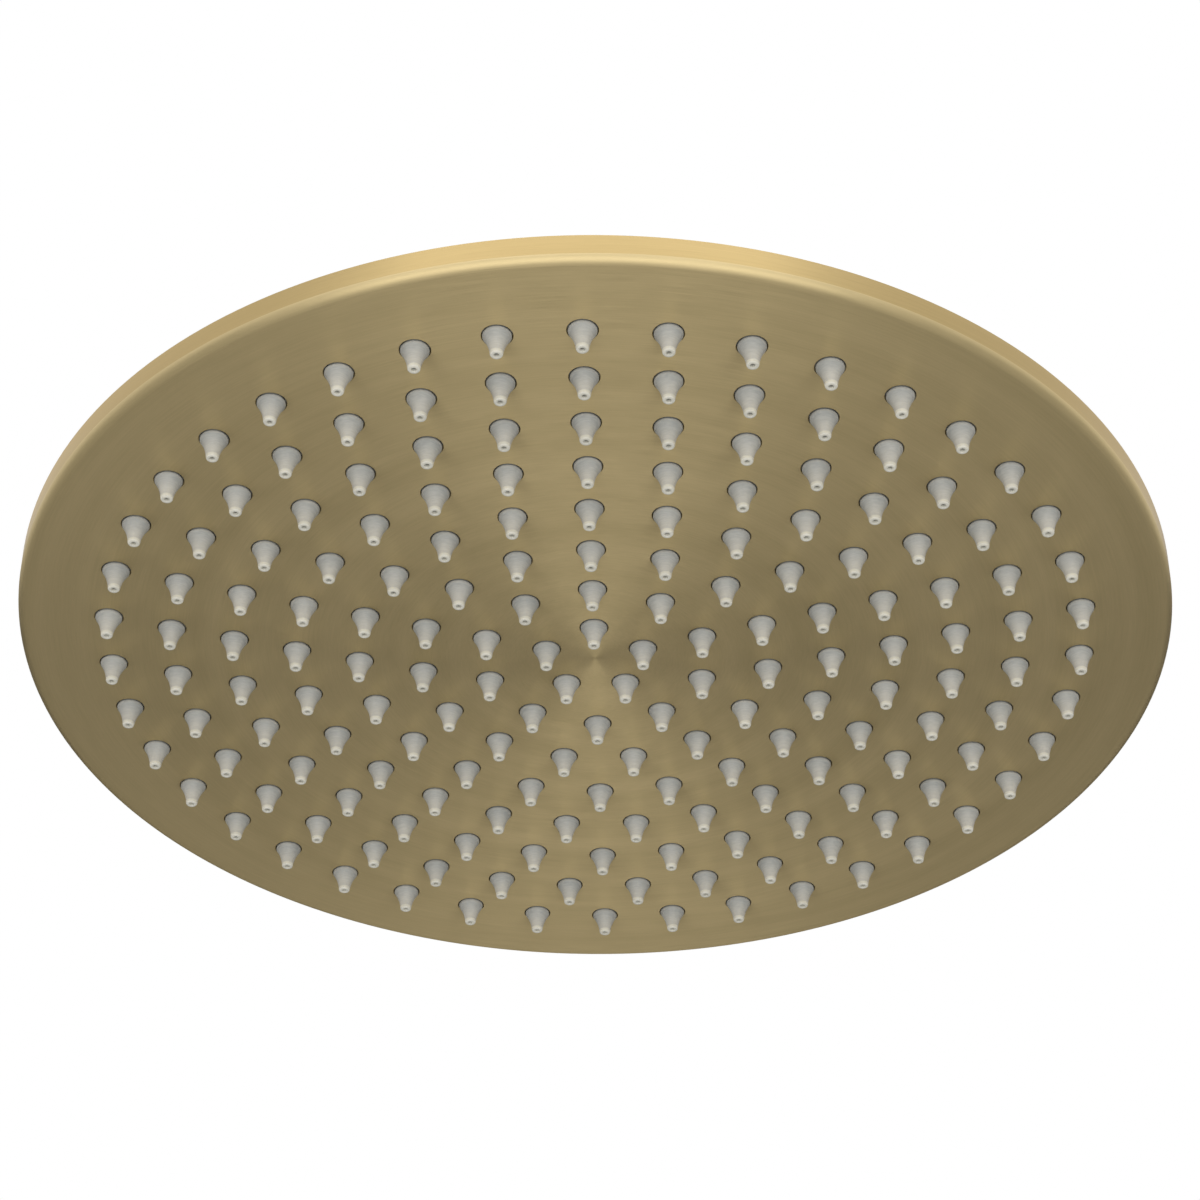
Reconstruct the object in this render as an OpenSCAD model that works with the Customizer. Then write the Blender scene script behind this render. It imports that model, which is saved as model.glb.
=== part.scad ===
// Round rain shower head on a ball joint, with 180 silicone nozzles in eight rings.
// Z is up, the face looks down, and the origin is the middle of the inlet's mouth.
// One row of nozzles, one in each ring, points along -Y.

/* [Head] */
// Outside diameter of the head
head_d = 300; // [290:1:340]
// Height of the rim, from the face to the back
head_h = 8; // [7.5:0.5:12]
// Radius of the edge between the face and the rim
edge_r = 2; // [1:0.25:2.5]
// Thickness of the face
face_t = 1.5; // [1:0.1:2]
// Chamfer on the rim's back edge
back_chamfer = 0.4; // [0.2:0.1:0.6]

/* [Nozzle field] */
// Number of nozzle rings
ring_count = 8; // [3:1:8]
// Nozzles in the inner ring, and how many more each ring has than the one inside it
ring_step = 5; // [4:1:6]
// Radius of the inner ring
first_ring_r = 13.25; // [12:0.25:14]
// Distance of the outer ring from the rim
field_inset = 23.35; // [22:0.05:30]

/* [Nozzle] */
// How far a nozzle stands out of the face
nozzle_h = 6.15; // [5:0.05:7]
// Diameter of the nozzle's lip
base_d = 6.9; // [6.6:0.1:7.5]
// Diameter of the nozzle behind its lip, where it passes through the face
root_d = 6; // [5.5:0.1:6.4]
// Diameter of the tip
tip_d = 3.2; // [2.6:0.1:3.4]
// Radius of the hollow curve from the tip to the lip
flare_r = 11; // [8:0.5:20]
// Chamfer round the tip
tip_chamfer = 0.25; // [0.2:0.05:0.4]
// Height of the straight lip between the flare and the face
lip_h = 0.5; // [0.3:0.05:0.8]
// Diameter of the jet hole
jet_d = 1.25; // [0.8:0.05:1.5]
// Length of the jet hole before it widens
jet_len = 1.4; // [1:0.1:2]
// Chamfer at the jet hole's mouth
jet_chamfer = 0.15; // [0.1:0.05:0.25]
// Diameter of the feed hole behind the jet hole
feed_d = 2.4; // [1.8:0.1:2.8]
// Gap round a nozzle's lip in its hole in the face
nozzle_gap = 0.3; // [0.1:0.05:0.3]

/* [Mat and spreader] */
// Thickness of the mat's web
mat_t = 1.5; // [1:0.1:2]
// Thickness of the spreader plate
spreader_t = 1.2; // [0.8:0.1:2]
// Diameter of a spreader peg
peg_d = 4; // [3:0.5:5]
// Diameter of a feed hole in the spreader
spreader_hole_d = 3; // [2:0.5:4]
// Gap round the mat and the spreader inside the rim
mat_gap = 0.4; // [0.3:0.1:1]

/* [Back] */
// Thickness of the back cover
cover_t = 2; // [1.5:0.25:2.5]
// Thickness of the rim's lip round the cover
lip_t = 1.5; // [1.2:0.1:2]
// Width of the ledge that the cover sits on
ledge_w = 10; // [9:0.5:11]
// Gap between the cover and the lip
cover_gap = 0.2; // [0.1:0.05:0.4]
// Cord diameter of the perimeter seal
seal_d = 1.8; // [1.6:0.1:2]
// Share of its diameter that a seal keeps when it is pressed
seal_squash = 0.8; // [0.75:0.05:0.9]
// Distance of the seal's groove from the ledge's inner edge
seal_inset = 1.2; // [1:0.1:1.4]
// Number of cover screws
screw_count = 12; // [6:1:16]
// Diameter of a cover screw
screw_d = 3; // [2.5:0.5:3]
// Head diameter of a cover screw
screw_head_d = 5.5; // [5:0.25:6]
// Length of a cover screw
screw_len = 5; // [4:0.5:5.5]
// Width across the flats of a screw's socket
screw_key = 2; // [1.5:0.25:2.5]
// Depth of a screw's socket
screw_key_depth = 1.1; // [0.8:0.1:1.4]
// Distance of the screws from the ledge's outer edge
screw_inset = 3.4; // [3.2:0.1:3.8]
// Gap round a screw in its hole
screw_gap = 0.1; // [0.05:0.05:0.2]

/* [Ball joint] */
// Diameter of the ball
ball_d = 25; // [24:0.5:28]
// Diameter of the neck between the ball and the flange
stud_neck_d = 12; // [11:0.5:13]
// Diameter of the waterway through the ball stud
stud_bore_d = 8; // [7:0.5:9]
// Tilt each way about each of two axes, in degrees
tilt = 10; // [5:1:10]
// Thickness of a ball seat
seat_t = 1.5; // [1.2:0.1:2]
// Where a seat begins, in degrees from the ball's equator
seat_from = 6; // [5.5:0.5:8]
// Where a seat ends, in degrees from the ball's equator
seat_to = 34; // [28:1:36]
// Running gap on each face of a seat
seat_gap = 0.08; // [0.05:0.01:0.1]
// Cord diameter of the ring that seals the ball
ball_ring_d = 2.4; // [2:0.1:2.8]
// Where that ring touches the ball, in degrees below the equator
ball_ring_at = 54; // [52:1:56]
// Wall of the socket at its thread
socket_wall = 1.8; // [1.5:0.1:2.5]
// Wall of the collar at its thread
collar_wall = 2.4; // [2:0.1:4]
// Length of the thread between collar and socket
collar_thread_len = 6; // [5:0.5:7]
// Height of the collar's top above the ball's middle
collar_rise = 12; // [11.5:0.5:13]
// Chamfer round the collar's top
collar_chamfer = 3; // [2:0.5:4]
// Width across the collar's two spanner flats
collar_key = 34; // [33:0.5:36]
// Height of the spanner flats, from the collar's top
collar_key_h = 9; // [7:0.5:11]
// Diameter of the socket's foot on the cover
foot_d = 52; // [46:1:70]
// Thickness of the socket's foot at its edge
foot_t = 1.6; // [1.2:0.1:2.5]
// Fillet between the foot and the barrel
foot_fillet = 5; // [3:0.5:5.5]
// Diameter of the socket's spigot through the cover
spigot_d = 24; // [22:0.5:26]
// Gap round the spigot that the braze fills
braze_gap = 0.05; // [0.03:0.01:0.1]
// Room under the ball
ball_room = 0.7; // [0.6:0.1:1.5]
// Gap between two threads that are screwed together
thread_gap = 0.05; // [0.03:0.01:0.1]
// Room that stays between the tilted stud and the collar
tilt_room = 0.5; // [0.4:0.1:1]

/* [Stud flange] */
// Diameter of the stud's flange
flange_d = 18.5; // [17:0.5:18.5]
// Thickness of the stud's flange
flange_t = 2.5; // [2:0.5:4]
// Width across the flange's two spanner flats
flange_key = 16; // [15:0.5:17]
// Diameter of the stud's spigot thread
stud_thread_d = 14; // [13:0.5:14.5]
// Length of the stud's spigot thread
stud_thread_len = 7; // [6:0.5:9]
// Cord diameter of the stud's seal
stud_seal_d = 1.5; // [1.2:0.1:1.8]

/* [Inlet] */
// Diameter across the crests of the female half inch pipe thread
thread_minor_d = 18.6; // [18.4:0.1:19.2]
// Diameter across the roots of the thread
thread_major_d = 20.955; // [20.9:0.005:21]
// Length of the thread
thread_len = 12; // [10:0.5:16]
// Width of the hexagon across its flats
hex_key = 26; // [25:0.5:30]
// Height of the round band above the hexagon
band_h = 2.5; // [2:0.5:4]
// Height of the hexagon
hex_h = 13; // [10:0.5:16]
// Diameter of the fitting at its lower end
fitting_low_d = 22; // [21:0.5:24]
// Thickness of the inlet washer
washer_t = 2.5; // [2:0.25:3]
// Hole in the inlet washer
washer_hole_d = 12; // [11:0.5:13]
// Gap round a loose ring or disc in its pocket
pocket_gap = 0.1; // [0.05:0.05:0.2]
// Thickness of the filter screen's sheet
screen_t = 0.4; // [0.3:0.1:0.6]
// Height of the filter screen's dome
screen_rise = 1.8; // [1.4:0.1:2]
// Rings of holes in the filter screen
screen_rings = 4; // [2:1:5]
// Distance between those rings
screen_pitch = 1.15; // [1:0.05:1.15]
// Diameter of a hole in the filter screen
screen_hole_d = 0.7; // [0.5:0.1:0.8]
// Diameter of the flow restrictor's pocket
restrictor_d = 16; // [15.5:0.5:16.5]
// Height of the flow restrictor
restrictor_h = 4; // [3.5:0.5:6]
// Number of holes in the flow restrictor
restrictor_holes = 6; // [4:1:8]
// Diameter of those holes
restrictor_hole_d = 1.6; // [1:0.1:2]
// Cord diameter of the restrictor's ring
restrictor_ring_d = 1.3; // [1:0.1:1.6]
// Thickness of the step that the restrictor stands on
step_t = 1.5; // [1:0.25:2]
// Hole through that step
step_hole_d = 9; // [8:0.5:11]

/* [Hidden] */
$fn = 96;
// A cut runs this far past the face that it opens
past = 1;

brass = "#a89468";
silicone = "#b4b3ae";
acetal = "#e8e6dc";
rubber_black = "#26262a";
steel = "#b5b6b8";

// Inlet fitting, measured down from its mouth
washer_z = -thread_len - washer_t;
screen_z = washer_z - screen_t;
restrictor_z = screen_z - restrictor_h;
step_z = restrictor_z - step_t;
fitting_h = -step_z + stud_thread_len;
fitting_z = -fitting_h;

// Ball joint, measured from the ball's middle
ball_r = ball_d / 2;
seat_in_r = ball_r + seat_gap;
seat_out_r = seat_in_r + seat_t;
cup_r = seat_out_r + seat_gap;
socket_thread_r = cup_r + socket_wall;
collar_r = socket_thread_r + thread_gap + collar_wall;
tilt_all = acos(cos(tilt) * cos(tilt));
neck_r = stud_neck_d / 2;
collar_mouth_r = neck_r / cos(tilt_all) + collar_rise * tan(tilt_all) + tilt_room;
flange_rise = (collar_rise + tilt_room + flange_d / 2 * sin(tilt_all)) / cos(tilt_all);
socket_top = 1;
collar_low = socket_top - collar_thread_len;
ball_ring_out = ball_r + seat_gap / 2 + ball_ring_d / 2;
ball_ring_r = ball_ring_out * cos(ball_ring_at);
ball_ring_z = -ball_ring_out * sin(ball_ring_at);
ring_pocket_r = ball_ring_r + ball_ring_d / 2 + pocket_gap;
ring_pocket_z = ball_ring_z - ball_ring_d / 2 - pocket_gap;
cup_low = -cup_r * sin(seat_to + tilt_all + 1);
water_r = ball_ring_r - ball_ring_d / 2 - pocket_gap;

// Heights of the whole
flange_z = fitting_z - flange_t;
ball_z = flange_z - flange_rise;
back_z = ball_z - max(ball_r, -ring_pocket_z) - ball_room;
cover_z = back_z - cover_t;
face_z = back_z - head_h;
mat_z = face_z + face_t;
spreader_z = mat_z + mat_t;
tip_z = face_z - nozzle_h;

// Head, measured outwards
head_r = head_d / 2;
lip_in_r = head_r - lip_t;
ledge_in_r = lip_in_r - ledge_w;
ring_pitch = (head_r - field_inset - first_ring_r) / max(1, ring_count - 1);
screw_ring_r = lip_in_r - screw_inset;
seal_ring_r = ledge_in_r + seal_inset + seal_d / 2;

// Puts a copy of its child at every nozzle of the field
module each_nozzle() {
    for (ring = [1 : ring_count])
        for (i = [0 : ring * ring_step - 1])
            rotate(-90 + i * 360 / (ring * ring_step))
                translate([first_ring_r + (ring - 1) * ring_pitch, 0]) children();
}

// Ring of round cord whose lower and upper sides are pressed flat between two faces
module pressed_ring(ring_r, cord_d, height) {
    rotate_extrude()
        translate([ring_r, height / 2])
            intersection() {
                circle(d = cord_d);
                square([cord_d, height], center = true);
            }
}

// Dished brass face: flat sheet, rounded edge, rim with a ledge for the cover and a thin lip round it
module face_shell() {
    color(brass) translate([0, 0, face_z]) difference() {
        rotate_extrude($fn = 360) difference() {
            union() {
                square([head_r - edge_r, head_h]);
                translate([head_r - edge_r, edge_r]) circle(r = edge_r);
                translate([head_r - edge_r, edge_r]) square([edge_r, head_h - edge_r]);
            }
            translate([-past, face_t]) square([ledge_in_r + past, head_h]);
            translate([-past, head_h - cover_t]) square([lip_in_r + past, cover_t + past]);
            translate([seal_ring_r - seal_d / 2 - pocket_gap, head_h - cover_t - seal_d * seal_squash])
                square([seal_d + 2 * pocket_gap, seal_d]);
            translate([head_r, head_h]) rotate(45)
                square(back_chamfer * sqrt(2), center = true);
        }
        each_nozzle() translate([0, 0, -past])
            cylinder(d = base_d + 2 * nozzle_gap, h = face_t + 2 * past);
        for (i = [0 : screw_count - 1])
            rotate((i + 0.5) * 360 / screw_count)
                translate([screw_ring_r, 0, head_h - screw_len - screw_gap])
                    cylinder(d = screw_d + 2 * screw_gap, h = screw_len);
    }
}

// Half section of one nozzle's outside, with the tip at y = 0 and the foot in the mat's web
module nozzle_outline() {
    tip_r = tip_d / 2;
    base_r = base_d / 2;
    flare_w = base_r - tip_r;
    flare_h = nozzle_h - lip_h;
    chord = sqrt(flare_w * flare_w + flare_h * flare_h);
    bow = sqrt(flare_r * flare_r - chord * chord / 4);
    flare_x = (tip_r + base_r) / 2 + bow * flare_h / chord;
    flare_y = flare_h / 2 - bow * flare_w / chord;
    chamfer_r = flare_x - sqrt(flare_r * flare_r - (tip_chamfer - flare_y) * (tip_chamfer - flare_y));
    foot_y = nozzle_h + face_t + mat_t / 2;
    difference() {
        polygon([[0, 0], [chamfer_r - tip_chamfer, 0], [chamfer_r, tip_chamfer], [base_r, tip_chamfer],
                 [base_r, nozzle_h], [root_d / 2, nozzle_h], [root_d / 2, foot_y], [0, foot_y]]);
        translate([flare_x, flare_y]) circle(r = flare_r);
    }
}

// Half section of one nozzle's waterway: jet hole, taper and feed hole through the web
module waterway_outline() {
    jet_r = jet_d / 2;
    feed_r = feed_d / 2;
    web_y = nozzle_h + face_t + mat_t + past;
    polygon([[0, -past], [jet_r + jet_chamfer, -past], [jet_r + jet_chamfer, 0], [jet_r, jet_chamfer],
             [jet_r, jet_len], [feed_r, nozzle_h], [feed_r, web_y], [0, web_y]]);
}

// One silicone moulding: a flat web behind the face and a bell-mouthed nozzle through every hole
module nozzle_mat() {
    color(silicone) difference() {
        union() {
            translate([0, 0, mat_z]) cylinder(r = ledge_in_r - mat_gap, h = mat_t, $fn = 360);
            translate([0, 0, tip_z]) each_nozzle() rotate_extrude($fn = 48) nozzle_outline();
        }
        translate([0, 0, tip_z]) each_nozzle() rotate_extrude($fn = 24) waterway_outline();
    }
}

// Plate that presses the mat down, with a hole over every nozzle and pegs that reach the cover
module spreader_plate() {
    color(acetal) {
        translate([0, 0, spreader_z]) linear_extrude(spreader_t) difference() {
            circle(r = ledge_in_r - mat_gap, $fn = 360);
            each_nozzle() circle(d = spreader_hole_d, $fn = 24);
        }
        for (ring = [2 : 2 : ring_count - 1])
            for (i = [0 : ring * ring_step - 1])
                rotate(-90 + (i + 0.5) * 360 / (ring * ring_step))
                    translate([first_ring_r + (ring - 0.5) * ring_pitch, 0, spreader_z])
                        cylinder(d = peg_d, h = cover_z - spreader_z, $fn = 24);
    }
}

// Rubber ring pressed between the ledge and the cover
module perimeter_seal() {
    color(rubber_black) translate([0, 0, cover_z - seal_d * seal_squash])
        pressed_ring(seal_ring_r, seal_d, seal_d * seal_squash, $fn = 360);
}

// Solid of one countersunk screw, head up, with its top at z = 0
module screw_body(gap) {
    head_h = (screw_head_d - screw_d) / 2;
    translate([0, 0, -head_h])
        cylinder(d1 = screw_d + 2 * gap, d2 = screw_head_d + 2 * gap, h = head_h, $fn = 32);
    translate([0, 0, -screw_len]) cylinder(d = screw_d + 2 * gap, h = screw_len, $fn = 32);
}

// Flat brass disc let into the rim
module back_cover() {
    color(brass) translate([0, 0, back_z]) difference() {
        translate([0, 0, -cover_t]) cylinder(r = lip_in_r - cover_gap, h = cover_t, $fn = 360);
        translate([0, 0, -cover_t - past])
            cylinder(d = spigot_d + 2 * braze_gap, h = cover_t + 2 * past);
        for (i = [0 : screw_count - 1])
            rotate((i + 0.5) * 360 / screw_count) translate([screw_ring_r, 0, 0]) screw_body(screw_gap);
    }
}

// Countersunk screws with a hexagon socket, flush with the cover
module cover_screws() {
    color(steel) translate([0, 0, back_z])
        for (i = [0 : screw_count - 1])
            rotate((i + 0.5) * 360 / screw_count) translate([screw_ring_r, 0, 0]) difference() {
                screw_body(0);
                translate([0, 0, -screw_key_depth])
                    cylinder(d = screw_key / cos(30), h = screw_key_depth + past, $fn = 6);
            }
}

// Turned brass socket: foot on the cover, spigot through it, cup for the ball, thread for the collar
module ball_socket() {
    foot_z = back_z - ball_z;
    barrel_r = collar_r;
    color(brass) translate([0, 0, ball_z]) difference() {
        rotate_extrude() difference() {
            union() {
                translate([0, foot_z - cover_t]) square([spigot_d / 2, cover_t + past]);
                translate([0, foot_z]) square([foot_d / 2, foot_t]);
                translate([0, foot_z]) square([barrel_r, collar_low - foot_z]);
                difference() {
                    translate([0, foot_z + foot_t]) square([barrel_r + foot_fillet, foot_fillet]);
                    translate([barrel_r + foot_fillet, foot_z + foot_t + foot_fillet])
                        circle(r = foot_fillet);
                }
                square([socket_thread_r, socket_top]);
                translate([0, collar_low - past]) square([socket_thread_r, past - collar_low]);
            }
            translate([0, ring_pocket_z]) square([ring_pocket_r, -ring_pocket_z]);
            translate([0, foot_z - cover_t - past]) square([water_r, cover_t - foot_z + past]);
        }
        intersection() {
            sphere(r = cup_r);
            translate([0, 0, cup_low]) cylinder(r = cup_r + past, h = 2 * cup_r);
        }
    }
}

// Rubber ring in the socket's floor, against the ball
module ball_oring() {
    color(rubber_black) translate([0, 0, ball_z + ball_ring_z])
        rotate_extrude() translate([ball_ring_r, 0]) circle(d = ball_ring_d, $fn = 32);
}

// Ring cut from a spherical shell between two cones of latitude
module ball_seat(low, high) {
    translate([0, 0, ball_z]) intersection() {
        difference() {
            sphere(r = seat_out_r);
            sphere(r = seat_in_r);
        }
        translate([0, 0, seat_out_r * sin(low)])
            cylinder(r = seat_out_r + past, h = seat_out_r * (sin(high) - sin(low)));
    }
}

// Acetal ring under the ball's equator
module lower_ball_seat() {
    color(acetal) ball_seat(-seat_to, -seat_from);
}

// Acetal ring over the ball's equator
module upper_ball_seat() {
    color(acetal) ball_seat(seat_from, seat_to);
}

// Brass collar that screws down over the upper seat, with two spanner flats
module retaining_collar() {
    color(brass) translate([0, 0, ball_z]) difference() {
        rotate_extrude() difference() {
            polygon([[0, collar_low], [collar_r, collar_low], [collar_r, collar_rise - collar_chamfer],
                     [collar_r - collar_chamfer, collar_rise], [0, collar_rise]]);
            translate([0, collar_low - past]) square([collar_mouth_r, collar_rise - collar_low + 2 * past]);
            translate([0, collar_low - past])
                square([socket_thread_r + thread_gap, socket_top + thread_gap - collar_low + past]);
        }
        sphere(r = cup_r);
        for (side = [-1, 1])
            translate([side * (collar_key / 2 + collar_r), 0, collar_rise])
                cube([2 * collar_r, 2 * collar_r, 2 * collar_key_h], center = true);
    }
}

// Hollow brass ball with its neck, flange and threaded spigot
module ball_stud() {
    spigot_top = flange_rise + flange_t + stud_thread_len - thread_gap;
    color(brass) translate([0, 0, ball_z]) difference() {
        union() {
            sphere(r = ball_r);
            cylinder(d = stud_neck_d, h = flange_rise + past);
            translate([0, 0, flange_rise]) intersection() {
                cylinder(d = flange_d, h = flange_t);
                translate([-flange_key / 2, -flange_d, 0]) cube([flange_key, 2 * flange_d, flange_t]);
            }
            translate([0, 0, flange_rise]) cylinder(d = stud_thread_d, h = spigot_top - flange_rise);
        }
        translate([0, 0, -ball_r - past])
            cylinder(d = stud_bore_d, h = spigot_top + ball_r + 2 * past);
    }
}

// Rubber ring in the fitting's lower end, on the stud's flange
module stud_seal() {
    ring_r = stud_thread_d / 2 + pocket_gap + stud_seal_d / 2;
    color(rubber_black) translate([0, 0, fitting_z])
        pressed_ring(ring_r, stud_seal_d, stud_seal_d * seal_squash);
}

// Brass fitting: hexagon with a round band, female thread, washer recess, restrictor pocket, stud thread
module inlet_fitting() {
    band_r = hex_key / 2;
    hex_top = -band_h;
    hex_low = hex_top - hex_h;
    seal_pocket_r = stud_thread_d / 2 + 2 * pocket_gap + stud_seal_d;
    color(brass) difference() {
        union() {
            translate([0, 0, hex_low]) cylinder(r = band_r, h = -hex_low);
            translate([0, 0, fitting_z]) cylinder(d1 = fitting_low_d, d2 = hex_key, h = hex_low - fitting_z);
            intersection() {
                translate([0, 0, hex_low]) cylinder(d = hex_key / cos(30), h = hex_h, $fn = 6);
                translate([0, 0, hex_low]) cylinder(r1 = band_r, r2 = band_r + 2 * hex_h, h = hex_h);
                translate([0, 0, hex_low]) cylinder(r1 = band_r + 2 * hex_h, r2 = band_r, h = hex_h);
            }
        }
        translate([0, 0, -thread_len]) cylinder(d = thread_minor_d, h = thread_len + past);
        translate([0, 0, screen_z]) cylinder(d = thread_major_d, h = washer_t + screen_t);
        translate([0, 0, restrictor_z]) cylinder(d = restrictor_d, h = restrictor_h + past);
        translate([0, 0, fitting_z]) cylinder(d = step_hole_d, h = restrictor_z - fitting_z + past);
        translate([0, 0, fitting_z - past])
            cylinder(d = stud_thread_d + 2 * thread_gap, h = stud_thread_len + past);
        translate([0, 0, fitting_z - past]) cylinder(r = seal_pocket_r, h = stud_seal_d * seal_squash + past);
    }
}

// Acetal disc with a ring of metering holes and a groove round it
module flow_restrictor() {
    groove_d = restrictor_d - 2 * restrictor_ring_d;
    color(acetal) translate([0, 0, restrictor_z]) difference() {
        cylinder(d = restrictor_d - 2 * pocket_gap, h = restrictor_h);
        translate([0, 0, restrictor_h / 2 - restrictor_ring_d / 2 - pocket_gap]) difference() {
            cylinder(d = restrictor_d, h = restrictor_ring_d + 2 * pocket_gap);
            translate([0, 0, -past]) cylinder(d = groove_d - 2 * pocket_gap, h = restrictor_h);
        }
        for (i = [0 : restrictor_holes - 1])
            rotate(i * 360 / restrictor_holes) translate([stud_bore_d / 2 - restrictor_hole_d / 2, 0, -past])
                cylinder(d = restrictor_hole_d, h = restrictor_h + 2 * past, $fn = 32);
    }
}

// Rubber ring in the restrictor's groove
module restrictor_oring() {
    color(rubber_black) translate([0, 0, restrictor_z + restrictor_h / 2])
        rotate_extrude() translate([restrictor_d / 2 - restrictor_ring_d / 2 - pocket_gap / 2, 0])
            circle(d = restrictor_ring_d, $fn = 32);
}

// Perforated steel dome with a flat brim under the washer
module filter_screen() {
    brim_r = thread_major_d / 2 - pocket_gap;
    dome_r = washer_hole_d / 2 - pocket_gap;
    dome_ball = (dome_r * dome_r + screen_rise * screen_rise) / (2 * screen_rise);
    color(steel) translate([0, 0, screen_z]) difference() {
        union() {
            cylinder(r = brim_r, h = screen_t);
            intersection() {
                translate([0, 0, screen_rise + screen_t - dome_ball]) sphere(r = dome_ball);
                cylinder(r = dome_r, h = screen_rise + 2 * screen_t);
            }
        }
        intersection() {
            translate([0, 0, screen_rise - dome_ball]) sphere(r = dome_ball);
            translate([0, 0, -past]) cylinder(r = dome_r - screen_t, h = screen_rise + 2 * past);
        }
        translate([0, 0, -past]) cylinder(d = screen_hole_d, h = screen_rise + 3 * past, $fn = 16);
        for (ring = [1 : screen_rings])
            for (i = [0 : 6 * ring - 1])
                rotate(i * 60 / ring) translate([ring * screen_pitch, 0, -past])
                    cylinder(d = screen_hole_d, h = screen_rise + 3 * past, $fn = 16);
    }
}

// Flat rubber washer that the shower arm presses on
module inlet_washer() {
    color(rubber_black) translate([0, 0, washer_z]) difference() {
        cylinder(d = thread_major_d - 2 * pocket_gap, h = washer_t);
        translate([0, 0, -past]) cylinder(d = washer_hole_d, h = washer_t + 2 * past);
    }
}

face_shell();
nozzle_mat();
spreader_plate();
perimeter_seal();
back_cover();
cover_screws();
ball_socket();
ball_oring();
lower_ball_seat();
upper_ball_seat();
retaining_collar();
ball_stud();
stud_seal();
inlet_fitting();
flow_restrictor();
restrictor_oring();
filter_screen();
inlet_washer();
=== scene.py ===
from math import cos, hypot, pi, radians, sin

import bpy
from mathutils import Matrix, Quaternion, Vector
from mathutils.geometry import delaunay_2d_cdt


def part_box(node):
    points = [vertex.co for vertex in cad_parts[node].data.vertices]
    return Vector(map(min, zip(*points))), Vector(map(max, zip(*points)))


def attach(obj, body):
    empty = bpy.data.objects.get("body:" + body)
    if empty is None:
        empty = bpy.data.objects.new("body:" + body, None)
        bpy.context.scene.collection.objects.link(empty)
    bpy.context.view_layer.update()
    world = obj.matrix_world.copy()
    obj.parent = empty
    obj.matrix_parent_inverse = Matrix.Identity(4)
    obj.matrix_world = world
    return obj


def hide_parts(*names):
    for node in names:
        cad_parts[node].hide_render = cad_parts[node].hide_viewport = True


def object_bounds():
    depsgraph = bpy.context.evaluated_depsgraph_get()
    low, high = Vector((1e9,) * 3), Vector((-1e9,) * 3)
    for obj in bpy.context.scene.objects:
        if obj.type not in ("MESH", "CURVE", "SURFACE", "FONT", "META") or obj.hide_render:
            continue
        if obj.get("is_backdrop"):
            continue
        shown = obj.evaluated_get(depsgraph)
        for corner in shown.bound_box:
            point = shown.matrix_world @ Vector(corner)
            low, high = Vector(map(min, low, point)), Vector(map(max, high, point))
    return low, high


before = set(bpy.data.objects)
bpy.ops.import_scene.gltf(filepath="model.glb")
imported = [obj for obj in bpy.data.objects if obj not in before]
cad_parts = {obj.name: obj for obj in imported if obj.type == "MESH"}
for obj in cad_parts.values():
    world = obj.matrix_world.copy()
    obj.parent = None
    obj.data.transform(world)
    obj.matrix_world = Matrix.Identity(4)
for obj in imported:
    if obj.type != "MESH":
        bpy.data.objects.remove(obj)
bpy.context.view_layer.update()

MM = 0.001


# The camera looks up at the face from the height and distance of the photograph.
# One row of nozzles runs almost straight away from it, turned a little to the side.
eye = Vector((0.01729, -0.66038, -0.55782))
aim = Vector((0.00143, -0.0092, -0.05414))
roll = radians(0.26)

camera = bpy.data.objects.new("camera", bpy.data.cameras.new("camera"))
bpy.context.scene.collection.objects.link(camera)
camera.data.lens = 94.14
camera.data.sensor_width = 36
camera.data.clip_end = 50
camera.location = eye
camera.rotation_mode = "QUATERNION"
level = (aim - eye).to_track_quat("-Z", "Y")
camera.rotation_quaternion = level @ Quaternion((0, 0, 1), roll)
bpy.context.scene.camera = camera
bpy.context.scene.view_settings.view_transform = "Standard"


# The studio: a pale floor well below the head and plain white all round it.
# Metal sees the same white as the camera, and the diffuse light from it is lower.
def add(tree, kind, feeds, **settings):
    """A new node of that kind: feeds gives each input a value or another node's output."""
    node = tree.nodes.new("ShaderNode" + kind)
    for key, value in settings.items():
        setattr(node, key, value)
    for key, value in feeds.items():
        if isinstance(value, bpy.types.NodeSocket):
            tree.links.new(value, node.inputs[key])
        else:
            node.inputs[key].default_value = value
    return node


def new_finish(name):
    """An empty material with its shader, to be fed by the caller."""
    material = bpy.data.materials.new(name)
    material.use_nodes = True
    return material, material.node_tree, material.node_tree.nodes["Principled BSDF"]


world = bpy.data.worlds.new("studio")
world.use_nodes = True
bpy.context.scene.world = world
sky = world.node_tree
sky.nodes.clear()
path = add(sky, "LightPath", {})
seen = add(sky, "Math", {0: path.outputs["Is Camera Ray"], 1: path.outputs["Is Glossy Ray"]},
           operation="MAXIMUM")
seen = add(sky, "Math", {0: seen.outputs[0], 1: path.outputs["Is Transmission Ray"]}, operation="MAXIMUM")
dim = add(sky, "Background", {"Color": (1, 1, 1, 1), "Strength": 0.7})
white = add(sky, "Background", {"Color": (1, 1, 1, 1), "Strength": 1.0})
both = add(sky, "MixShader", {0: seen.outputs[0], 1: dim.outputs[0], 2: white.outputs[0]})
add(sky, "OutputWorld", {"Surface": both.outputs[0]})

floor_z = -1.35
floor_size = 12.0
floor_mesh = bpy.data.meshes.new("floor")
corners = [(x * floor_size, y * floor_size, floor_z) for x, y in ((-1, -1), (1, -1), (1, 1), (-1, 1))]
floor_mesh.from_pydata(corners, [], [(0, 1, 2, 3)])
floor = bpy.data.objects.new("floor", floor_mesh)
bpy.context.scene.collection.objects.link(floor)
floor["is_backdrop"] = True
paper, _, paper_shader = new_finish("studio_paper")
paper_shader.inputs["Base Color"].default_value = (0.60, 0.60, 0.59, 1)
paper_shader.inputs["Roughness"].default_value = 0.9
paper_shader.inputs["Specular IOR Level"].default_value = 0.1
floor_mesh.materials.append(paper)


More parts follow.
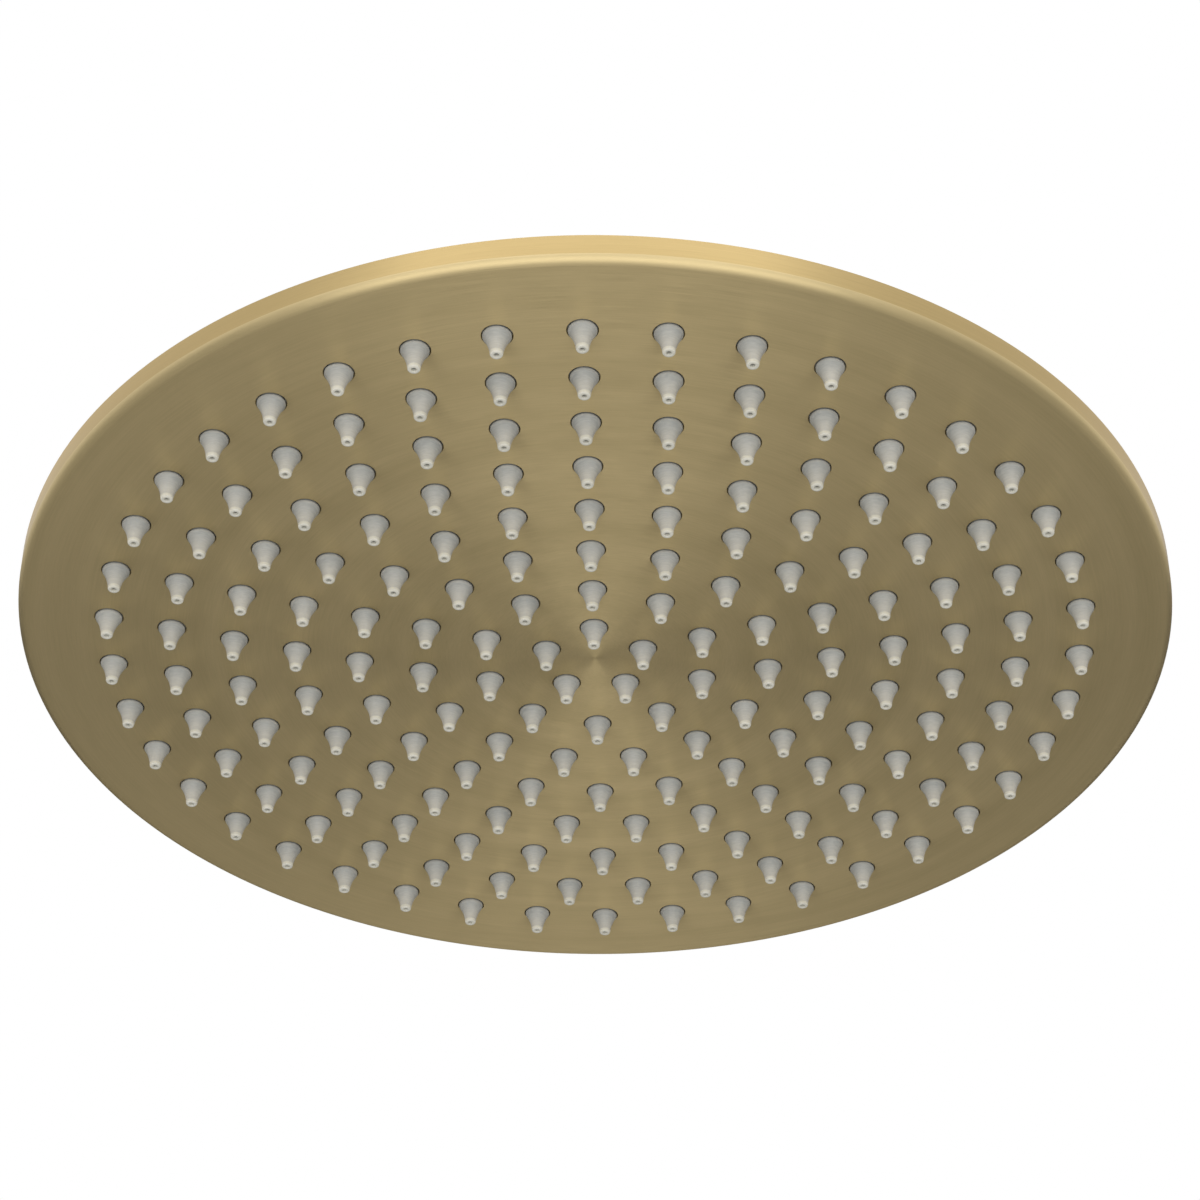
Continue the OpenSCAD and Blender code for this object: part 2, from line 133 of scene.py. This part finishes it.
def softbox(name, place, target, width, height, power):
    """A soft rectangular lamp that the camera doesn't see."""
    light = bpy.data.lights.new(name, "AREA")
    light.shape = "RECTANGLE"
    light.size = width
    light.size_y = height
    light.energy = power
    lamp = bpy.data.objects.new(name, light)
    bpy.context.scene.collection.objects.link(lamp)
    lamp.location = place
    lamp.rotation_euler = (Vector(target) - Vector(place)).to_track_quat("-Z", "Y").to_euler()
    lamp.visible_camera = False


softbox("front_softbox", (0.0, -1.26, -0.88), (0, 0, -0.066), 2.4, 1.0, 15)
softbox("overhead_softbox", (0.0, -0.6, 2.2), (0, 0, -0.066), 2.4, 2.4, 34)

card_mesh = bpy.data.meshes.new("grey_card")
card_corners = [(-3, 2.4, floor_z), (3, 2.4, floor_z), (3, 2.4, 1.8), (-3, 2.4, 1.8)]
card_mesh.from_pydata(card_corners, [], [(0, 1, 2, 3)])
card = bpy.data.objects.new("grey_card", card_mesh)
bpy.context.scene.collection.objects.link(card)
card.visible_camera = False
card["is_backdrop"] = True
felt, _, felt_shader = new_finish("studio_felt")
felt_shader.inputs["Base Color"].default_value = (0.16, 0.16, 0.16, 1)
felt_shader.inputs["Roughness"].default_value = 1.0
card_mesh.materials.append(felt)


# The face shell is one turned brass piece, the face and the rim together, drilled for the nozzles.
# It is brushed on a turntable, so every scratch is part of a circle round the middle.
def ring_place(tree, along, across):
    """Coordinates that run round the axis: along scales the way round, across the way over the scratches."""
    spot = add(tree, "TexCoord", {}).outputs["Object"]
    flat = add(tree, "VectorMath", {0: spot, 1: (1, 1, 0)}, operation="MULTIPLY").outputs[0]
    way = add(tree, "VectorMath", {0: flat}, operation="NORMALIZE").outputs[0]
    radius = add(tree, "VectorMath", {0: flat}, operation="LENGTH").outputs["Value"]
    height = add(tree, "SeparateXYZ", {0: spot}).outputs["Z"]
    reach = add(tree, "Math", {0: radius, 1: height}, operation="SUBTRACT").outputs[0]
    stack = add(tree, "CombineXYZ", {"Z": reach}).outputs[0]
    whole = add(tree, "VectorMath", {0: way, 1: stack}, operation="ADD").outputs[0]
    return add(tree, "VectorMath", {0: whole, 1: (along, along, across)}, operation="MULTIPLY").outputs[0]


def brushed_brass(name, light, dark, smooth, rough, grain, depth, stretch):
    """Satin brass, brushed round the axis: two tones, two roughnesses, scratches per metre and their depth."""
    material, tree, shader = new_finish(name)
    shader.inputs["Metallic"].default_value = 1.0
    shader.inputs["Anisotropic"].default_value = stretch
    shader.inputs["Anisotropic Rotation"].default_value = 0.25
    lay = add(tree, "Tangent", {}, direction_type="RADIAL", axis="Z")
    tree.links.new(lay.outputs[0], shader.inputs["Tangent"])
    scratch = add(tree, "TexNoise", {"Vector": ring_place(tree, 9, grain), "Scale": 1.0, "Detail": 4.0,
                                     "Roughness": 0.65})
    band = add(tree, "TexNoise", {"Vector": ring_place(tree, 0.6, 110), "Scale": 1.0, "Detail": 2.0})
    tone = add(tree, "Math", {0: scratch.outputs[0], 1: band.outputs[0]}, operation="ADD")
    share = add(tree, "MapRange", {"Value": tone.outputs[0], "From Min": 0.7, "From Max": 1.3})
    colour = add(tree, "Mix", {"Factor": share.outputs[0], "A": dark + (1,), "B": light + (1,)},
                 data_type="RGBA")
    tree.links.new(colour.outputs["Result"], shader.inputs["Base Color"])
    wear = add(tree, "MapRange", {"Value": scratch.outputs[0], "From Min": 0.3, "From Max": 0.7,
                                  "To Min": smooth, "To Max": rough})
    tree.links.new(wear.outputs[0], shader.inputs["Roughness"])
    relief = add(tree, "Bump", {"Height": scratch.outputs[0], "Strength": 1.0, "Distance": depth})
    tree.links.new(relief.outputs[0], shader.inputs["Normal"])
    return material


def dress(node, material):
    """Gives a CAD node its finish."""
    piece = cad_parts[node]
    for place in piece.material_slots:
        place.material = material
    if not piece.material_slots:
        piece.data.materials.append(material)


def smooth_mesh(name, points, faces, crease):
    """A mesh object with smooth faces and edges that stay crisp over the crease angle."""
    mesh = bpy.data.meshes.new(name)
    mesh.from_pydata(points, [], faces)
    mesh.validate()
    mesh.shade_smooth()
    mesh.set_sharp_from_angle(angle=radians(crease))
    piece = bpy.data.objects.new(name, mesh)
    bpy.context.scene.collection.objects.link(piece)
    return piece


def circle(points, x, y, r, z, sides):
    """Adds a circle of points and returns their numbers."""
    first = len(points)
    for side in range(sides):
        turn = 2 * pi * side / sides
        points.append((x + r * cos(turn), y + r * sin(turn), z))
    return list(range(first, first + sides))


def sleeve(faces, low, high):
    """Faces between two circles of the same number of points. They look outwards if low is below high."""
    for side in range(len(low)):
        after = (side + 1) % len(low)
        faces.append((low[side], low[after], high[after], high[side]))


def plate(points, faces, edge, holes, upward):
    """Fills the flat field between an edge circle and the hole circles."""
    keys, owner = list(edge), [-1] * len(edge)
    for number, hole in enumerate(holes):
        keys += hole
        owner += [number] * len(hole)
    triangles = delaunay_2d_cdt([Vector(points[key][:2]) for key in keys], [], [], 0, 1e-9)[2]
    for a, b, c in triangles:
        if not owner[a] == owner[b] == owner[c] != -1:
            corner = (keys[a], keys[b], keys[c])
            faces.append(corner if upward else corner[::-1])


face_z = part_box("face_shell")[0].z
head_r = 150 * MM
head_h = 8 * MM
edge_r = 2 * MM
face_t = 1.5 * MM
ledge_z = face_z + 6 * MM
rim_sides = 256
hole_r = 3.75 * MM
hole_break = 0.08 * MM
hole_sides = 24
screw_ring_r = 145.1 * MM

nozzle_axes = []
for ring in range(1, 9):
    for i in range(ring * 5):
        turn = -pi / 2 + i * 2 * pi / (ring * 5)
        reach = (13.25 + (ring - 1) * 16.2) * MM
        nozzle_axes.append((reach * cos(turn), reach * sin(turn)))
screw_axes = []
for i in range(12):
    turn = (i + 0.5) * pi / 6
    screw_axes.append((screw_ring_r * cos(turn), screw_ring_r * sin(turn)))

points, faces = [], []
rim_line = [(head_r - edge_r - 0.2 * MM, face_z)]
for step in range(9):
    turn = pi / 2 * step / 8
    rim_line.append((head_r - edge_r * (1 - sin(turn)), face_z + edge_r * (1 - cos(turn))))
rim_line += [(head_r, face_z + edge_r + 0.2 * MM), (head_r, face_z + head_h - 0.4 * MM),
             (head_r - 0.4 * MM, face_z + head_h), (148.6 * MM, face_z + head_h),
             (148.5 * MM, face_z + head_h - 0.1 * MM), (148.5 * MM, ledge_z)]
rim = [circle(points, 0, 0, r, z, rim_sides) for r, z in rim_line]
for low, high in zip(rim, rim[1:]):
    sleeve(faces, low, high)
groove = [circle(points, 0, 0, r * MM, z, rim_sides) for r, z in
          ((141.6, ledge_z), (141.6, ledge_z - 1.44 * MM), (139.6, ledge_z - 1.44 * MM), (139.6, ledge_z),
           (138.5, ledge_z), (138.5, face_z + face_t))]
for low, high in zip(groove, groove[1:]):
    sleeve(faces, low, high)
screw_holes = []
for x, y in screw_axes:
    top = circle(points, x, y, 1.6 * MM, ledge_z, hole_sides)
    foot = circle(points, x, y, 1.6 * MM, face_z + 2.9 * MM, hole_sides)
    sleeve(faces, top, foot)
    faces.append(tuple(foot))
    screw_holes.append(top)
plate(points, faces, rim[-1], [groove[0]] + screw_holes, True)
mouths, backs = [], []
for x, y in nozzle_axes:
    mouth = circle(points, x, y, hole_r + hole_break, face_z, hole_sides)
    throat = circle(points, x, y, hole_r, face_z + hole_break, hole_sides)
    back = circle(points, x, y, hole_r, face_z + face_t, hole_sides)
    sleeve(faces, throat, mouth)
    sleeve(faces, back, throat)
    mouths.append(mouth)
    backs.append(back)
plate(points, faces, rim[0], mouths, False)
plate(points, faces, groove[-1], backs, True)
shell = smooth_mesh("face_shell_turned", points, faces, 35)
face_brass = brushed_brass("face_brass", (0.685, 0.55, 0.30), (0.58, 0.465, 0.245),
                           0.42, 0.50, 2600, 0.000004, 0.8)
# The rim wall is the same brass as the face but gets a darker copy: painted shade that holds the wall down
# under the front softbox.
rim_brass_painted_shade = brushed_brass("rim_brass_painted_shade", (0.55, 0.41, 0.19), (0.46, 0.34, 0.15),
                          0.34, 0.44, 2600, 0.000006, 0.8)
shell.data.materials.append(face_brass)
shell.data.materials.append(rim_brass_painted_shade)
# Faces on the rim wall take the darker copy, the painted shade.
for face in shell.data.polygons:
    middle = face.center
    on_wall = hypot(middle.x, middle.y) > head_r - 0.5 * MM and middle.z > face_z + edge_r
    face.material_index = 1 if on_wall else 0
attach(shell, "head")
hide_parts("face_shell")


# The nozzle mat is one silicone moulding, a thin web behind the face with a bell-mouthed nozzle
# through every hole. Its lips and tips are rounded by the mould, and a taper behind each jet feeds it.
nozzle_h = 6.15
lip_h = 0.5
root_r = 3.0
tip_r = 1.52
base_r = 3.45
flare_r = 11.0
nozzle_rise = nozzle_h * MM
web_low = face_z + face_t
web_high = web_low + 1.5 * MM
web_r = 138.1 * MM
flare_h = nozzle_h - lip_h
chord = hypot(base_r - tip_r, flare_h)
bow = (flare_r ** 2 - chord ** 2 / 4) ** 0.5
flare_x = (tip_r + base_r) / 2 + bow * flare_h / chord
flare_y = flare_h / 2 - bow * (base_r - tip_r) / chord

nozzle_line = [(1.2, 9.15), (1.2, nozzle_h), (0.625, 1.4), (0.625, 0.2), (0.67, 0.06), (0.78, 0.0), (1.18, 0.0),
               (1.37, 0.06), (1.47, 0.2)]
for step in range(8):
    h = 0.4 + (flare_h - 0.45) * step / 7
    nozzle_line.append((flare_x - (flare_r ** 2 - (h - flare_y) ** 2) ** 0.5, h))
nozzle_line += [(base_r, flare_h + 0.07), (base_r, nozzle_h - 0.06), (base_r - 0.06, nozzle_h),
                (root_r, nozzle_h), (root_r, 7.65)]

points, faces, feeds, feet = [], [], [], []
for x, y in nozzle_axes:
    rows = [circle(points, x, y, r * MM, face_z - nozzle_rise + h * MM, hole_sides) for r, h in nozzle_line]
    for low, high in zip(rows, rows[1:]):
        sleeve(faces, low, high)
    feeds.append(rows[0])
    feet.append(rows[-1])
web_top = circle(points, 0, 0, web_r, web_high, rim_sides)
web_foot = circle(points, 0, 0, web_r, web_low, rim_sides)
sleeve(faces, web_foot, web_top)
plate(points, faces, web_top, feeds, True)
plate(points, faces, web_foot, feet, False)
mat = smooth_mesh("nozzle_mat_moulded", points, faces, 42)

silicone, tree, shader = new_finish("grey_silicone")
spot = add(tree, "TexCoord", {}).outputs["Object"]
cloud = add(tree, "TexNoise", {"Vector": spot, "Scale": 60.0, "Detail": 3.0})
speck = add(tree, "TexNoise", {"Vector": spot, "Scale": 3500.0, "Detail": 3.0})
layers = add(tree, "VectorMath", {0: spot, 1: (0.15, 0.15, 1)}, operation="MULTIPLY")
trace = add(tree, "TexNoise", {"Vector": layers.outputs[0], "Scale": 4000.0, "Detail": 2.0})
grain = add(tree, "Math", {0: cloud.outputs[0], 1: trace.outputs[0]}, operation="ADD")
share = add(tree, "MapRange", {"Value": grain.outputs[0], "From Min": 0.7, "From Max": 1.3})
# The silicone is one grey. The flare is painted darker, a painted shade, and the thin tip is painted cream, a
# painted glow of light shining through it.
flare_painted_shade = add(tree, "Mix", {"Factor": share.outputs[0], "A": (0.30, 0.31, 0.305, 1), "B": (0.40, 0.405, 0.39, 1)},
            data_type="RGBA")
pale = add(tree, "Mix", {"Factor": share.outputs[0], "A": (0.46, 0.455, 0.425, 1), "B": (0.54, 0.53, 0.49, 1)},
           data_type="RGBA")
tip_painted_glow = add(tree, "Mix", {"Factor": share.outputs[0], "A": (0.60, 0.585, 0.51, 1), "B": (0.68, 0.66, 0.58, 1)},
            data_type="RGBA")
# Height ramps that lay the painted shade on the flare and the painted glow on the tip.
height = add(tree, "SeparateXYZ", {0: spot}).outputs["Z"]
flare_shade_ramp = add(tree, "MapRange", {"Value": height, "From Min": face_z - 4.2 * MM, "From Max": face_z - 1.2 * MM})
tip = add(tree, "MapRange", {"Value": height, "From Min": face_z - 5.4 * MM, "From Max": face_z - 5.1 * MM})
stem_with_painted_shade = add(tree, "Mix", {"Factor": flare_shade_ramp.outputs[0], "A": pale.outputs["Result"], "B": flare_painted_shade.outputs["Result"]},
           data_type="RGBA")
tint = add(tree, "Mix", {"Factor": tip.outputs[0], "A": tip_painted_glow.outputs["Result"], "B": stem_with_painted_shade.outputs["Result"]},
           data_type="RGBA")
tree.links.new(tint.outputs["Result"], shader.inputs["Base Color"])
matt = add(tree, "MapRange", {"Value": speck.outputs[0], "To Min": 0.38, "To Max": 0.62})
tree.links.new(matt.outputs[0], shader.inputs["Roughness"])
grit = add(tree, "Bump", {"Height": speck.outputs[0], "Strength": 0.3, "Distance": 0.00002})
tree.links.new(grit.outputs[0], shader.inputs["Normal"])
shader.inputs["Subsurface Weight"].default_value = 0.25
shader.inputs["Subsurface Radius"].default_value = (1.0, 0.95, 0.85)
shader.inputs["Subsurface Scale"].default_value = 0.001
mat.data.materials.append(silicone)
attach(mat, "head")
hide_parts("nozzle_mat")


# The spreader plate is a machined disc of white acetal that lies on the mat and presses it down.
# A hole feeds each nozzle, and pegs reach up to the cover, which holds the plate in place.
def plain_finish(name, light, dark, smooth, rough, grain, depth, metallic=0.0):
    """Moulded or pressed stock: a cloudy tone, a fine grain and its relief."""
    material, tree, shader = new_finish(name)
    shader.inputs["Metallic"].default_value = metallic
    spot = add(tree, "TexCoord", {}).outputs["Object"]
    cloud = add(tree, "TexNoise", {"Vector": spot, "Scale": grain / 20, "Detail": 3.0})
    speck = add(tree, "TexNoise", {"Vector": spot, "Scale": grain, "Detail": 4.0})
    tint = add(tree, "Mix", {"Factor": cloud.outputs[0], "A": dark + (1,), "B": light + (1,)}, data_type="RGBA")
    tree.links.new(tint.outputs["Result"], shader.inputs["Base Color"])
    matt = add(tree, "MapRange", {"Value": speck.outputs[0], "To Min": smooth, "To Max": rough})
    tree.links.new(matt.outputs[0], shader.inputs["Roughness"])
    grit = add(tree, "Bump", {"Height": speck.outputs[0], "Strength": 0.5, "Distance": depth})
    tree.links.new(grit.outputs[0], shader.inputs["Normal"])
    return material


acetal = plain_finish("white_acetal", (0.80, 0.78, 0.72), (0.72, 0.70, 0.64), 0.35, 0.5, 2000, 0.00001)
dress("spreader_plate", acetal)


# The perimeter seal is a ring of black nitrile rubber in a groove of the rim's ledge.
# The cover presses it flat and so keeps the water in the head.
rubber = plain_finish("black_rubber", (0.028, 0.028, 0.030), (0.018, 0.018, 0.019), 0.5, 0.75, 3000, 0.00002)
dress("perimeter_seal", rubber)


# The back cover is a disc of brass sheet let into the rim, level with its back edge.
# It is brushed on the same turntable as the face, so its scratches are circles too.
cover_brass = brushed_brass("cover_brass", (0.675, 0.535, 0.28), (0.57, 0.445, 0.225),
                            0.36, 0.46, 2200, 0.000005, 0.8)
dress("back_cover", cover_brass)


# Twelve countersunk stainless screws with a hexagon socket hold the cover down on its seal.
# They are cold headed and left bright.
steel = plain_finish("stainless_steel", (0.60, 0.60, 0.61), (0.50, 0.50, 0.51), 0.22, 0.38, 2500, 0.000006, 1.0)
dress("cover_screws", steel)


# The ball socket is turned from brass bar and brazed into the middle of the cover.
# The turning marks run round it.
turned_brass = brushed_brass("turned_brass", (0.69, 0.545, 0.285), (0.59, 0.46, 0.235),
                             0.24, 0.34, 4200, 0.000005, 0.7)
dress("ball_socket", turned_brass)


# The ball runs on one rubber ring, which seals it, and between two acetal seats, cut as rings
# from a spherical shell. The lower seat lies in the socket and the upper one under the collar.
dress("ball_oring", rubber)
dress("lower_ball_seat", acetal)
dress("upper_ball_seat", acetal)


# The ball stud is one turned brass piece: the hollow ball, its neck, the flange with two
# spanner flats and the threaded spigot that screws into the inlet fitting.
dress("ball_stud", turned_brass)


# The retaining collar is turned from the same bar and screws down over the socket.
# Two flats take the spanner that sets how stiffly the ball turns.
dress("retaining_collar", turned_brass)


# The inlet fitting is turned from hexagon bar. The shower arm screws into its upper end and
# the ball stud into its lower end, on a small rubber ring.
dress("inlet_fitting", turned_brass)
dress("stud_seal", rubber)


# The flow restrictor is a moulded acetal disc with metering holes and a rubber ring round it.
# It drops into its pocket in the fitting from above.
dress("flow_restrictor", acetal)
dress("restrictor_oring", rubber)


# The filter screen is a dome of perforated stainless sheet that catches grit from the pipe.
# The flat rubber washer over its brim seals against the shower arm.
dress("filter_screen", steel)
dress("inlet_washer", rubber)

low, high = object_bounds()
